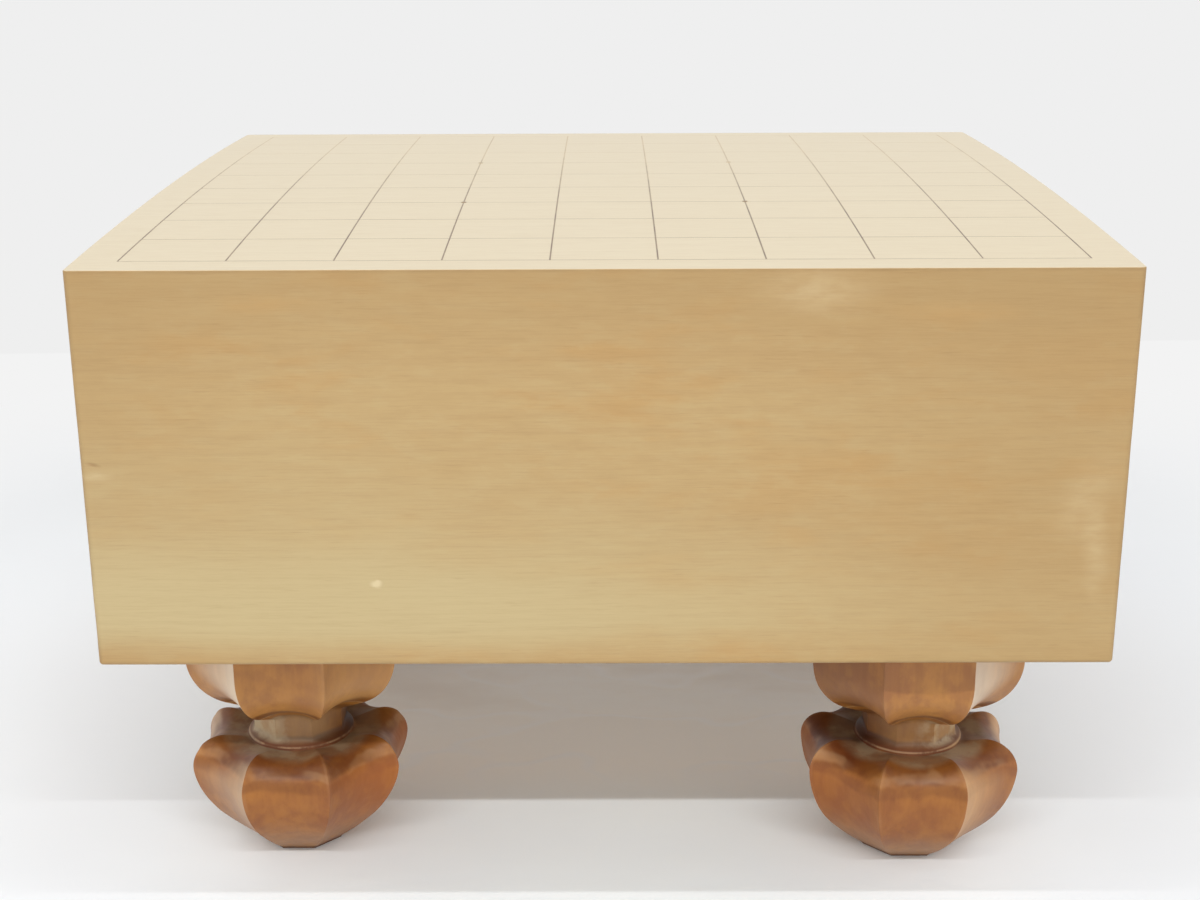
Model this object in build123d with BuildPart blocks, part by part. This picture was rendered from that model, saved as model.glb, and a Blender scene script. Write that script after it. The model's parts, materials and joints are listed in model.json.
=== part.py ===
from build123d import *
from math import radians, sin
import os

# A shogi board on legs: one solid block with a lacquered 9 by 9 grid, standing on four
# legs carved in the shape of a gardenia fruit, each plugged into the underside.
# Millimetres. The feet stand on z = 0, the grain runs along X, the front faces -Y.

# Block
board_length = 364.0
board_depth = 333.0
board_thickness = 144.5
crown_rise = 2.9
arris_radius = 1.5

# Playing grid, lacquered on the crowned top
squares = 9
square_length = 37.0
square_depth = 34.1
line_width = 0.6
line_height = 0.15
squares_between_dots = 3
dot_diameter = 2.8
dot_height = 0.3

# Navel: the square hollow under the middle of the block, with a low pyramid left in it
navel_width = 100.0
navel_depth = 20.0
navel_peak_width = 2.0
navel_peak_depth = 3.0

# Legs, each where its maker set it, a few millimetres off a true rectangle
leg_height = 100.5
leg_axes = {
    "front_left_leg": (-121.8, -104.5),
    "front_right_leg": (119.8, -110.0),
    "rear_left_leg": (-120.6, 107.2),
    "rear_right_leg": (120.6, 107.2),
}

# Tenon on the leg, mortise in the block
tenon_width = 30.0
tenon_length = 36.0
tenon_chamfer = 2.0
mortise_play = 0.1
mortise_depth = 38.0

# Carving of a leg: points as (radius, depth below the block), first along one of the
# eight sharp ridges, then along the floor of the hollow flute between two ridges
flutes = 8
ridge_line = {
    "collar_top": (44.0, 0.0),
    "collar_side": (44.0, 18.0),
    "collar_turn": (37.6, 32.8),
    "collar_lip": (28.8, 38.9),
    "neck_top": (18.8, 43.0),
    "neck_foot": (18.8, 52.0),
    "saddle": (21.2, 54.6),
    "crest": (31.0, 52.2),
    "shoulder": (40.6, 55.3),
    "belly": (44.0, 63.4),
    "flank": (41.4, 75.3),
    "flank_end": (35.6, 85.4),
    "foot_turn": (28.2, 92.7),
    "foot_edge": (19.2, 99.5),
    "foot": (18.4, 100.5),
}
flute_line = {
    "collar_top": (38.5, 0.0),
    "collar_side": (38.5, 18.0),
    "collar_turn": (33.2, 30.6),
    "collar_lip": (25.0, 36.2),
    "neck_top": (17.4, 41.5),
    "neck_foot": (17.4, 52.0),
    "saddle": (21.2, 54.8),
    "crest": (26.5, 54.8),
    "shoulder": (35.4, 57.4),
    "belly": (38.5, 65.0),
    "flank": (36.4, 75.6),
    "flank_end": (31.6, 85.6),
    "foot_turn": (25.8, 92.6),
    "foot_edge": (17.7, 99.5),
    "foot": (17.0, 100.5),
}

# Turned ring where the neck meets the fruit
ring_radius = 20.8
ring_edge_depth = 53.6
ring_top_depth = 51.0
ring_top_radius = 17.0
ring_root_depth = 56.0

# The lobes are drawn round a core and past both ends, then cored and trimmed
core_radius = 8.0
core_draw_radius = 6.0
trim = 2.0

underside = leg_height
board_edge_top = underside + board_thickness
crown_top = board_edge_top + crown_rise


def lacquer_skin(thickness):
    """A skin over the whole crowned top, for the lacquer to be cut from."""
    half_depth = board_depth / 2
    with BuildPart() as skin:
        with BuildSketch(Plane.YZ):
            with BuildLine():
                lower = ThreePointArc(
                    (-half_depth, board_edge_top), (0, crown_top), (half_depth, board_edge_top)
                )
                upper = ThreePointArc(
                    (-half_depth, board_edge_top + thickness),
                    (0, crown_top + thickness),
                    (half_depth, board_edge_top + thickness),
                )
                Line(lower @ 0, upper @ 0)
                Line(lower @ 1, upper @ 1)
            make_face()
        extrude(amount=board_length / 2, both=True)
    return skin.part


# Block: a crowned slab with softened upright and lower edges
with BuildPart() as board_block:
    with BuildSketch(Plane.YZ):
        with BuildLine():
            slab = Polyline(
                (-board_depth / 2, board_edge_top),
                (-board_depth / 2, underside),
                (board_depth / 2, underside),
                (board_depth / 2, board_edge_top),
            )
            ThreePointArc(slab @ 0, (0, crown_top), slab @ 1)
        make_face()
    extrude(amount=board_length / 2, both=True)
    upright_edges = board_block.edges().filter_by(Axis.Z)
    lower_edges = board_block.faces().sort_by(Axis.Z)[0].edges()
    fillet(upright_edges + lower_edges, arris_radius)

    # Mortises for the four tenons
    with BuildSketch(Plane.XY.offset(underside)):
        with Locations(*leg_axes.values()):
            Rectangle(tenon_width + 2 * mortise_play, tenon_width + 2 * mortise_play)
    extrude(amount=mortise_depth, mode=Mode.SUBTRACT)

# Navel hollow, cut from the block once its pyramid has been taken out of it
with BuildPart() as navel_hollow:
    with BuildSketch(Plane.XY.offset(underside)):
        Rectangle(navel_width, navel_width)
    extrude(amount=navel_depth)
    with BuildSketch(Plane.XY.offset(underside + navel_depth)):
        Rectangle(navel_width, navel_width)
    with BuildSketch(Plane.XY.offset(underside + navel_peak_depth)):
        Rectangle(navel_peak_width, navel_peak_width)
    loft(mode=Mode.SUBTRACT)

with board_block:
    add(navel_hollow.part, mode=Mode.SUBTRACT)

# Star dots: four drops of lacquer, three squares apart
with BuildPart() as star_dots:
    add(lacquer_skin(dot_height))
    with BuildSketch(Plane.XY.offset(board_edge_top)):
        with GridLocations(
            squares_between_dots * square_length, squares_between_dots * square_depth, 2, 2
        ):
            Circle(dot_diameter / 2)
    extrude(amount=2 * crown_rise, mode=Mode.INTERSECT)

# Grid lines: ten each way, one connected film of lacquer, broken by the dots
with BuildPart() as grid_lines:
    add(lacquer_skin(line_height))
    with BuildSketch(Plane.XY.offset(board_edge_top)):
        with GridLocations(square_length, 0, squares + 1, 1):
            Rectangle(line_width, squares * square_depth + line_width)
        with GridLocations(0, square_depth, 1, squares + 1):
            Rectangle(squares * square_length + line_width, line_width)
    extrude(amount=2 * crown_rise, mode=Mode.INTERSECT)
    add(star_dots.part, mode=Mode.SUBTRACT)

# Lobe: one eighth of a leg, lofted from a ridge across the flute to the next ridge
with BuildPart() as lobe:
    for angle, outline in (
        (-180 / flutes, ridge_line),
        (0, flute_line),
        (180 / flutes, ridge_line),
    ):
        at = {name: (radius, -depth) for name, (radius, depth) in outline.items()}
        with BuildSketch(Plane.XZ.rotated((0, 0, angle))):
            with BuildLine():
                Line((at["collar_top"][0], trim), at["collar_side"])
                ThreePointArc(at["collar_side"], at["collar_turn"], at["collar_lip"])
                Polyline(
                    at["collar_lip"], at["neck_top"], at["neck_foot"], at["saddle"], at["crest"]
                )
                ThreePointArc(at["crest"], at["shoulder"], at["belly"])
                ThreePointArc(at["belly"], at["flank"], at["flank_end"])
                ThreePointArc(at["flank_end"], at["foot_turn"], at["foot_edge"])
                Polyline(
                    at["foot_edge"],
                    at["foot"],
                    (at["foot"][0], -leg_height - trim),
                    (core_draw_radius, -leg_height - trim),
                    (core_draw_radius, trim),
                    (at["collar_top"][0], trim),
                )
            make_face()
    loft()

# Leg: eight lobes round a core, trimmed level, with a turned ring and a square tenon
with BuildPart() as leg:
    with PolarLocations(0, flutes):
        add(lobe.part)
    with BuildSketch(Plane.XY.offset(-leg_height - trim)):
        Circle(core_radius)
    extrude(amount=leg_height + 2 * trim)
    split(bisect_by=Plane.XY, keep=Keep.BOTTOM)
    split(bisect_by=Plane.XY.offset(-leg_height), keep=Keep.TOP)

    with BuildSketch(Plane.XZ):
        with BuildLine():
            Polyline(
                (0, -ring_top_depth),
                (ring_top_radius, -ring_top_depth),
                (ring_radius, -ring_edge_depth),
                (ring_radius, -ring_root_depth),
                (0, -ring_root_depth),
                close=True,
            )
        make_face()
    revolve(axis=Axis.Z)

    with BuildSketch(Plane.XY):
        Rectangle(tenon_width, tenon_width)
    extrude(amount=tenon_length)
    chamfer(leg.faces().sort_by(Axis.Z)[-1].edges(), tenon_chamfer)

os.makedirs("parts", exist_ok=True)

board_block.part.label = "board_block"
export_step(board_block.part, "parts/board_block.step")

grid_lines.part.label = "grid_lines"
export_step(grid_lines.part, "parts/grid_lines.step")

star_dots.part.label = "star_dots"
export_step(star_dots.part, "parts/star_dots.step")

for name, (x, y) in leg_axes.items():
    with BuildPart(Plane((x, y, underside))) as placed_leg:
        add(leg.part)
    placed_leg.part.label = name
    export_step(placed_leg.part, f"parts/{name}.step")

foot_across = 2 * ridge_line["foot"][0] * sin(radians(90 - 180 / flutes))
print(f"Stands {underside:.1f} mm off the floor on feet {foot_across:.1f} mm across")
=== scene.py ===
import json
from math import atan2, cos, hypot, pi, radians, sin, sqrt, tan

import bpy
import numpy as np
from mathutils import Matrix, Vector, noise


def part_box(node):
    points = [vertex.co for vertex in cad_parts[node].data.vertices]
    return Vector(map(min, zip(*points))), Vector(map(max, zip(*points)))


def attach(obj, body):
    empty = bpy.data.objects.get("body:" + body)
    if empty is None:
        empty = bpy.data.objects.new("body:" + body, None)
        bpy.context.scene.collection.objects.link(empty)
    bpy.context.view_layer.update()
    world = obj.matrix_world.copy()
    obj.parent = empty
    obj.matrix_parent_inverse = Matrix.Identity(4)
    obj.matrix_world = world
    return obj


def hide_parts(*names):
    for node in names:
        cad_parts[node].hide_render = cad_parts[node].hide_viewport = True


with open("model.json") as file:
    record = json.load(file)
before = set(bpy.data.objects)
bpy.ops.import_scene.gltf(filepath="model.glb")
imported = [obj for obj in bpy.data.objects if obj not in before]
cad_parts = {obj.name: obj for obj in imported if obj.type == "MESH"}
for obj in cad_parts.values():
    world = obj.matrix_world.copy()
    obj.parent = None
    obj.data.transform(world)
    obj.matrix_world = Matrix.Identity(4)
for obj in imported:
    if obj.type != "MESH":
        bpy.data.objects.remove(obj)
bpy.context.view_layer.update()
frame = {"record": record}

# The looks of a shogi board on four carved legs. Metres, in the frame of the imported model:
# the feet stand on z = 0, the grain runs along X, the front faces -Y.
MM = 0.001


def screen(red, green, blue):
    """A colour given as it shows on a screen, 0 to 255, as linear values: the sRGB curve."""
    shares = (red / 255, green / 255, blue / 255)
    linear = [s / 12.92 if s < 0.04045 else ((s + 0.055) / 1.055) ** 2.4 for s in shares]
    return (*linear, 1.0)


def mm(*lengths):
    """Lengths in millimetres as metres."""
    return tuple(length * MM for length in lengths)


# Camera, where the photograph was taken from
photo_width = 1200
focal_pixels = 1824.9
sensor_width = 36.0
camera_place = (0.0012, -0.7677, 0.3717)
camera_tilt_down = radians(17.567)
camera_turn_left = radians(0.265)
camera_roll = radians(-0.253)

# Block
block_low, block_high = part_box("board_block")
underside = block_low.z
half_length = block_high.x
half_depth = block_high.y
crown_rise = 2.9 * MM
arris_radius = 1.5 * MM
top_arris_radius = 0.35 * MM
arris_steps = 6
top_arris_steps = 3
edge_support = 0.6 * MM
wear_depth = 0.14 * MM
wear_scale = 70.0
wear_between_corners = 0.45
length_steps = 70
depth_steps = 64
height_steps = 28

# Mortises and navel under the block
mortise_half_width = 15.1 * MM
mortise_depth = 38 * MM
navel_half_width = 50 * MM
navel_depth = 20 * MM
navel_peak_half_width = 1 * MM
navel_peak_depth = 3 * MM
cutter_overrun = 5 * MM

# Lacquer
squares = 9
square_length = 37.0 * MM
square_depth = 34.1 * MM
column_width = 0.55 * MM
row_width = 0.32 * MM
line_height = 0.03 * MM
squares_between_dots = 3
dot_radius = 1.15 * MM
dot_height = 0.24 * MM
lacquer_sink = 0.05 * MM
dot_rings = 6
dot_segments = 40
steps_between_lines = 6

# Section of a line: places across it, in widths, with their share of its height
line_section = ((-0.5, 0.3), (-0.32, 0.8), (0, 1.0), (0.32, 0.8), (0.5, 0.3))

# Legs: points as (radius, depth below the block), in millimetres, on one of the eight ridges
# and on the floor of the flute beside it, each with the steps that lead to it. A point with
# no steps is the first one or lies on the arc between its neighbours.
flutes = 8
leg_outline = {
    "collar_top": ((44, 0), (38.5, 0), 0),
    "collar_side": ((44, 18), (38.5, 18), 9),
    "collar_turn": ((37.6, 32.8), (33.2, 30.6), 0),
    "collar_lip": ((28.8, 38.9), (25, 36.2), 22),
    "neck_top": ((18.8, 43), (17.4, 41.5), 9),
    "neck_foot": ((18.8, 52.2), (17.4, 51.3), 8),
    "ring_edge": ((20.8, 53.6), (20.8, 53.6), 4),
    "ring_foot": ((20.8, 54.2), (20.8, 54.4), 2),
    "saddle": ((21.2, 54.6), (21.2, 54.8), 2),
    "crest": ((31, 52.2), (26.5, 54.8), 8),
    "shoulder": ((40.6, 55.3), (35.4, 57.4), 0),
    "belly": ((44, 63.4), (38.5, 65), 22),
    "flank": ((41.4, 75.3), (36.4, 75.6), 0),
    "flank_end": ((35.6, 85.4), (31.6, 85.6), 20),
    "foot_turn": ((28.2, 92.7), (25.8, 92.6), 0),
    "foot_edge": ((19.2, 99.5), (17.7, 99.5), 16),
    "foot": ((18.4, 100.5), (17, 100.5), 2),
}
columns_per_flute = 22
sanding_passes = 2
carving_ripple = 0.12 * MM
carving_scale = 110.0
carving_seed_step = (7.3, 3.1, 5.7)

# What the carver did otherwise on one leg, and where a shoulder's lowering starts and ends
carvers_touch = {
    "front_left_leg": {"foot_shift": -1.0 * MM, "slimmer_below": 0.09, "lower_shoulder": 0.6 * MM},
}
lowered_from = mm(54.4, 56.4)
lowered_to = mm(60, 72)

# Tenon
tenon_half_width = 15 * MM
tenon_length = 36 * MM
tenon_chamfer = 2 * MM

# Light: a sky, brightest near the horizon and a little darker in front, and two long lamps
# along X, at levels that are shares of the light on the open floor
ambient_low = 1.7
ambient_high = 0.44
ambient_heights = (0.32, 0.6)
front_share = 0.9
front_span = (-0.9, -0.2)
front_reflection = 0.3
front_reflection_span = (-0.9, -0.1)
backdrop_tone = screen(239, 239, 239)
lamp_distance = 5.0
lamp_width = 0.09
lamp_half_angle = radians(30)
lamp_steps = 41
front_lamp = (0.28, (0.0, -0.875, 1.005))
overhead_lamp = (0.19, (0.0, -0.16, 1.0))

# Paper floor: its colours, and for each change the place where it starts and is full
floor_half_size = 8.0
paper_cool = screen(243, 249, 253)
paper_white = screen(249, 254, 255)
# Under the board: a darker tone in wrinkles, painted shade, and a lighter tone, painted light
paper_wrinkled_shade = screen(222, 216, 209)
paper_lit_under = screen(255, 254, 251)
paper_fold = screen(250, 253, 255)
paper_beside = screen(240, 243, 246)
paper_right_shade = screen(227, 230, 234)
paper_around = screen(229, 231, 233)
paper_in_front = screen(226, 228, 230)
paper_shown_far = screen(243, 243, 243)
under_front = (-0.085, -0.045)
under_back = (0.20, 0.12)
under_side = (0.20, 0.12)
deeper_under = (-0.06, 0.03)
beside_legs = (0.13, 0.24)
before_board = (-0.16, -0.20)
well_before_board = (-0.16, -0.24)
right_of_board = (0.12, 0.36)
around_board = (0.28, 0.48)
shown_far = (0.40, 0.68)
sheet_back_edge = (0.684, 0.69)
sheet_back_slope = 0.033

# Board wood: the growth rings' centre line as (y, z), their pitch, and the shares of a ring
# at which its late wood starts, is full and fades again
pith_line = (0.30, 0.30)
ring_pitch = 1.25 * MM
ring_sway = 6 * MM
ring_strength_scale = 160.0
late_wood = (0.25, 0.85, 0.88)

# The inner wood is brown and the outer wood pale: their limits, from the centre line
inner_wood = mm(476, 469)
pale_from = 495 * MM
pale_slope = 0.0217
pale_unevenness = 12 * MM
pale_comes = mm(-15, 6)
pale_goes = mm(501, 507)
pale_toward_right = (0.0, 0.22)

wood_tan = screen(183, 154, 105)
wood_warm = screen(179, 148, 99)
wood_orange = screen(182, 144, 89)
wood_brown = screen(167, 135, 86)
wood_pale = screen(189, 169, 124)
# The top's tone: the wood under a painted sheen of the pale surroundings, seen at a low angle
wood_top_sheen = screen(217, 203, 172)
wood_line = screen(176, 132, 92)
wood_edge = screen(150, 110, 84)
wood_chalk = screen(228, 212, 172)

# Patterns: how often each changes in a metre along X, Y and Z, its detail and its roughness
board_patterns = {
    "warp": ((2.5, 7, 7), 2),
    "fibre": ((50, 1500, 1500), 3, 0.6),
    "fine_fibre": ((150, 3400, 3400), 2),
    "fleck": ((70, 1300, 1300), 2),
    "band": ((2.2, 24, 24), 3),
    "cloud": ((7, 16, 16), 3),
    "patch": ((11, 26, 26), 4, 0.6),
    "mottle": ((26, 80, 80), 3),
    "speckle": ((85, 230, 230), 3, 0.6),
    "scuff": ((120, 400, 400), 3),
    "grime": (90, 3),
    "dullness": (28, 3),
}
leg_patterns = {
    "warp": ((30, 30, 9), 2),
    "fibre": ((420, 420, 14), 3, 0.6),
    "fine_fibre": ((1300, 1300, 50), 2),
    "cloud": ((38, 38, 22), 3),
    "patch": ((70, 70, 50), 2),
    "mottle": ((190, 190, 120), 3, 0.6),
    "dust_and_sheen": (75, 4, 0.6),
    "tooling": (120, 2),
}
paper_patterns = {
    "crease": ((5, 11, 1), 4, 0.6),
    "wrinkle": ((6, 14, 1), 5, 0.6),
    "fold": ((9, 16, 1), 2),
    "fibre": (900, 3),
}

# Tones laid over the board one after the other: the pattern that each follows, where in the
# pattern it starts and is full, its share there, and its colour
board_tones = (
    ("patch", 0.50, 0.72, 0.40, wood_orange),
    ("mottle", 0.50, 0.72, 0.60, wood_orange),
    ("speckle", 0.50, 0.68, 0.14, wood_brown),
    ("speckle", 0.50, 0.34, 0.16, wood_pale),
)
brown_middle = -0.03
brown_toward_ends = (0.06, 0.19)

# Wear of the board: grime along its edges, soft marks on the front, each with its middle as
# (x, z), half width, half height, strength and colour, a pale nick and a slanting dent
grime_reach = 2.2 * MM
grime_top_reach = 1.6 * MM
grime_full = 0.2 * MM
front_marks = (
    ((0.0742, 0.2385), 0.030, 0.012, 0.22, wood_chalk),
    ((0.1690, 0.1620), 0.014, 0.022, 0.16, wood_chalk),
    ((0.1755, 0.1430), 0.007, 0.026, 0.18, wood_chalk),
    ((-0.1765, 0.1722), 0.008, 0.0024, 0.26, wood_chalk),
    ((-0.1160, 0.2343), 0.028, 0.006, 0.55, wood_orange),
    ((0.1210, 0.2309), 0.030, 0.006, 0.60, wood_orange),
)
mark_sway_along = 30 * MM
mark_sway_up = 12 * MM
pale_nick = ((-0.0793, 0.1322), 3.4 * MM, 1.8 * MM)
nick_sway = 6 * MM
dark_dent = ((-0.1775, 0.1764), 3.6 * MM, 1.0 * MM)
dent_slope = 0.25

# Leg wood: the rings' centre beside the leg's axis, their pitch, and the wood's colours, with
# those of its painted light and shade
leg_pith = (0.024, 0.085)
leg_ring_pitch = 3.1 * MM
leg_ring_sway = 5 * MM
leg_late_wood = (0.2, 0.8, 0.85)
leg_orange = screen(167, 110, 44)
leg_brown = screen(149, 92, 39)
leg_amber = screen(176, 118, 47)
leg_line = screen(150, 104, 74)
# Stains, and painted shade in the hollows, under the board and on the inner sides
leg_stain_and_shade = screen(158, 128, 108)
# Painted shade deep in the neck, and a painted contact shadow at the foot
leg_deep_shade = screen(100, 72, 60)
# Dusty tone, also used for a painted sheen on what faces up and a painted floor reflection low on
# the fruit
leg_dust_and_sheen = screen(160, 146, 116)
# Painted highlights, and rubbed ridges
leg_highlight = screen(216, 178, 132)
# Painted light
leg_lit = screen(206, 156, 92)
leg_redder = screen(246, 236, 244)
# Painted sheen, the bright surroundings reflected on the flutes that face out, for the left and
# right legs and the collars; the first is also the neck's dusty tone
leg_sheen_and_dust = screen(214, 192, 158)
leg_sheen_right = screen(224, 180, 124)
leg_sheen_collar = screen(232, 216, 190)
leg_russet = screen(176, 94, 20)
leg_tones = (
    ("patch", 0.50, 0.68, 0.7, leg_amber),
    ("mottle", 0.47, 0.65, 0.4, leg_amber),
    ("mottle", 0.52, 0.34, 0.5, leg_brown),
)

# Each leg's patterns are moved by its place times this, so that no two legs are alike
pattern_shift = (3.7, 5.1, 0.0)

# Zones by depth below the block: start, end and the soft margin outside both. The lip's is
# by depth less lip_slope times the radius, which follows the collar's sloping underside.
lip_slope = 0.71
leg_unevenness = 6 * MM
lip_zone = mm(12.5, 18.2, 2)
# The crest: dirt, and painted shade under the board
crest_zone = mm(51.5, 58, 2)
# A dark band below the shoulder: a painted dark reflection
shoulder_zone = mm(60.5, 62.5, 2.4)
# The pale band under the crest: a painted highlight
under_crest_zone = mm(57, 58.4, 1.4)
# Painted shade in the recess, where dirt also lies, in the shaded zone and in the dark neck
recess_zone = mm(40, 54.5, 2)
shaded_zone = mm(42, 56, 4)
dark_neck_zone = mm(40, 53, 2)
dusty_neck_zone = mm(41, 51.5, 2)

# Changes by depth, by radius, outward from the board's middle and towards the front: where
# each starts and is full
to_collar = mm(37, 33)
to_redder = mm(50, 62)
to_fruit = mm(56, 62)
to_shaded_fruit = mm(54, 64)
to_stained_fruit = mm(58, 66)
to_low_fruit = mm(66, 88)
to_foot_dust_and_reflection = mm(76, 96)
to_contact_shadow = mm(98.7, 100.1)
to_neck = mm(26, 21)
to_bare_neck = mm(24, 20)
to_crest_end = mm(43, 35)
crest_end_sway = 16 * MM
past_ring = mm(20.8, 21.5)
to_hollow = mm(33, 28)
to_ridge = mm(24, 30)
to_inner_side = mm(4, -32)
to_lit_side = mm(-6, -26)
to_outer_side = mm(-6, 16)
to_neck_front = mm(2, -8)
inner_slant = 0.35

# Painted highlights on the edges of the ring and the collar's lip: their places and how far each
# reaches
ring_radius = 20.7 * MM
ring_radius_reach = mm(0.8, 0.3)
ring_depth = 53.8 * MM
ring_depth_reach = mm(0.5, 0.1)
lip_edge = 18.45 * MM
lip_edge_reach = mm(0.9, 0.3)
lip_edge_zone = mm(24.5, 29, 0.6)

# Lacquer
lacquer_dark = screen(98, 70, 42)
lacquer_worn_and_sheen = screen(202, 182, 148)
# The lines grow paler towards the back: a painted sheen
sheen_toward_back = (-0.12, 0.15)


def crown_height(y):
    """Height of the crowned top over the floor, an arc from front to back."""
    radius = (half_depth**2 + crown_rise**2) / (2 * crown_rise)
    return block_high.z - radius + sqrt(radius**2 - y**2)


def add_camera():
    data = bpy.data.cameras.new("camera")
    data.sensor_width = sensor_width
    data.lens = focal_pixels * sensor_width / photo_width
    camera = bpy.data.objects.new("camera", data)
    bpy.context.scene.collection.objects.link(camera)
    turn = Matrix.Rotation(camera_turn_left, 4, "Z")
    tilt = Matrix.Rotation(pi / 2 - camera_tilt_down, 4, "X")
    roll = Matrix.Rotation(camera_roll, 4, "Z")
    camera.matrix_world = Matrix.Translation(camera_place) @ turn @ tilt @ roll
    bpy.context.scene.camera = camera


def add_piece(name, vertices, faces, sharp_angle=40):
    """A mesh object, shaded smooth except over edges sharper than sharp_angle."""
    mesh = bpy.data.meshes.new(name)
    mesh.from_pydata([tuple(v) for v in vertices], [], faces)
    mesh.polygons.foreach_set("use_smooth", [True] * len(mesh.polygons))
    mesh.set_sharp_from_angle(angle=radians(sharp_angle))
    piece = bpy.data.objects.new(name, mesh)
    bpy.context.scene.collection.objects.link(piece)
    return piece


def ring_faces(rings, count):
    """Quads between rings of count vertices each that were added one after the other."""
    faces = []
    for first in range(0, (rings - 1) * count, count):
        for k in range(count):
            a, b = first + k, first + (k + 1) % count
            faces.append((a, b, b + count, a + count))
    return faces


def block_outline(inset):
    """Plan of the block, moved in by inset, anticlockwise from the front right corner."""
    radius = max(arris_radius - inset, 0.0)
    reach_x = half_length - inset - radius
    reach_y = half_depth - inset - radius
    corners = ((1, -1), (1, 1), (-1, 1), (-1, -1))
    points = []

    def rounded(corner, turns):
        """A point of a rounded corner, in a direction given in quarter turns from X."""
        side_x, side_y = corner
        angle = turns * pi / 2
        return side_x * reach_x + radius * cos(angle), side_y * reach_y + radius * sin(angle)

    for index, corner in enumerate(corners):
        for step in range(arris_steps + 1):
            points.append(rounded(corner, index - 1 + step / arris_steps))
        start = Vector(points[-1])
        end = Vector(rounded(corners[(index + 1) % 4], index))
        steps = (depth_steps, length_steps)[index % 2]
        support = edge_support / (end - start).length
        shares = [support] + [step / steps for step in range(1, steps)] + [1 - support]
        points.extend(tuple(start.lerp(end, share)) for share in shares)
    return points


def worn(x, y, z, softness):
    """A point of an arris, pushed in towards the block's middle where the edge is worn."""
    push = max(0.0, noise.noise(Vector((x, y, z)) * wear_scale)) * wear_depth * softness
    inward = Vector((-x, -y, (underside + block_high.z) / 2 - z))
    return Vector((x, y, z)) + inward.normalized() * push


def block_levels():
    """The block's rings from its underside up: (inset, lift, share of the wall's height)."""
    levels = [(arris_radius + edge_support, 0.0, 0.0)]
    for step in range(arris_steps + 1):
        angle = step / arris_steps * pi / 2
        levels.append((arris_radius * (1 - sin(angle)), arris_radius * (1 - cos(angle)), 0.0))
    levels.append((0.0, arris_radius + edge_support, 0.0))
    levels.extend((0.0, arris_radius, step / height_steps) for step in range(1, height_steps))
    levels.append((0.0, -top_arris_radius - edge_support, 1.0))
    for step in range(top_arris_steps + 1):
        angle = step / top_arris_steps * pi / 2
        inset = top_arris_radius * (1 - cos(angle))
        levels.append((inset, -top_arris_radius * (1 - sin(angle)), 1.0))
    levels.append((top_arris_radius + edge_support, 0.0, 1.0))
    return levels


def block_ring(inset, lift, share):
    """One ring's points: share 0 is at the underside, 1 at the crowned top, the rest between."""
    wall_low = underside + arris_radius
    points = []
    for x, y in block_outline(inset):
        top = crown_height(y)
        if share == 1.0:
            z = top + lift
        elif share == 0.0:
            z = underside + lift
        else:
            z = wall_low + (top - wall_low) * share
        on_corner = abs(x) > half_length - arris_radius and abs(y) > half_depth - arris_radius
        on_edge = 0 < lift < arris_radius or -top_arris_radius < lift < 0
        softness = 1.0 if on_corner else wear_between_corners if on_edge else 0.0
        points.append(worn(x, y, z, softness))
    return points


def crown_faces(first, count):
    """Strips from left to right over the crown, between points as far from the front."""
    half_row = 2 * (arris_steps + 1) + depth_steps + 1
    left_start = half_row + length_steps + 1
    ring = range(first, first + count)
    right = ring[:half_row]
    back = ring[half_row:left_start]
    left = ring[left_start : left_start + half_row][::-1]
    front = ring[left_start + half_row :]
    faces = []
    for k in range(half_row - 1):
        low = front if k == 0 else ()
        high = back if k == half_row - 2 else ()
        faces.append((left[k], *low, right[k], right[k + 1], *high, left[k + 1]))
    return faces


def block_mesh():
    """Rings from the underside up to the top, then strips over the crown."""
    rings = [block_ring(*level) for level in block_levels()]
    vertices = [point for ring in rings for point in ring]
    count = len(rings[0])
    faces = ring_faces(len(rings), count)
    faces.append(tuple(reversed(range(count))))
    faces.extend(crown_faces(len(vertices) - count, count))
    return vertices, faces


def square_cutter(name, x, y, levels):
    """A piece with its axis at (x, y) and square levels: (half width, height over the feet)."""
    corners = ((-1, -1), (1, -1), (1, 1), (-1, 1))
    vertices = [(x + half * a, y + half * b, z) for half, z in levels for a, b in corners]
    last = len(vertices) - 4
    faces = ring_faces(len(levels), 4)
    faces.extend(((3, 2, 1, 0), (last, last + 1, last + 2, last + 3)))
    return add_piece(name, vertices, faces)


def cut(piece, cutters, sharp_angle=40):
    """Takes the cutters' space out of the piece for good."""
    for cutter in cutters:
        modifier = piece.modifiers.new(cutter.name, "BOOLEAN")
        modifier.operation = "DIFFERENCE"
        modifier.solver = "EXACT"
        modifier.object = cutter
    bpy.context.view_layer.update()
    depsgraph = bpy.context.evaluated_depsgraph_get()
    mesh = bpy.data.meshes.new_from_object(piece.evaluated_get(depsgraph))
    piece.modifiers.clear()
    piece.data = mesh
    mesh.set_sharp_from_angle(angle=radians(sharp_angle))
    for cutter in cutters:
        bpy.data.objects.remove(cutter)


def leg_axes():
    """Each leg's name and the place of its axis, from the feet in the record."""
    for mount in frame["record"]["mounts"]:
        x, y, _ = mount["pos_m"]
        yield mount["name"].replace("_foot", "_leg"), x, y


def add_block():
    """The block with its mortises and its navel, a square well round a low pyramid."""
    block = add_piece("block", *block_mesh(), sharp_angle=50)
    below = underside - cutter_overrun
    navel_levels = (
        (navel_half_width, below),
        (navel_half_width, underside + navel_depth),
        (navel_peak_half_width, underside + navel_peak_depth),
    )
    cutters = [square_cutter("navel_space", 0.0, 0.0, navel_levels)]
    mortise = ((mortise_half_width, below), (mortise_half_width, underside + mortise_depth))
    for name, x, y in leg_axes():
        cutters.append(square_cutter(f"{name}_mortise", x, y, mortise))
    cut(block, cutters)
    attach(block, "board")
    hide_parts("board_block")
    return block


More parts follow.
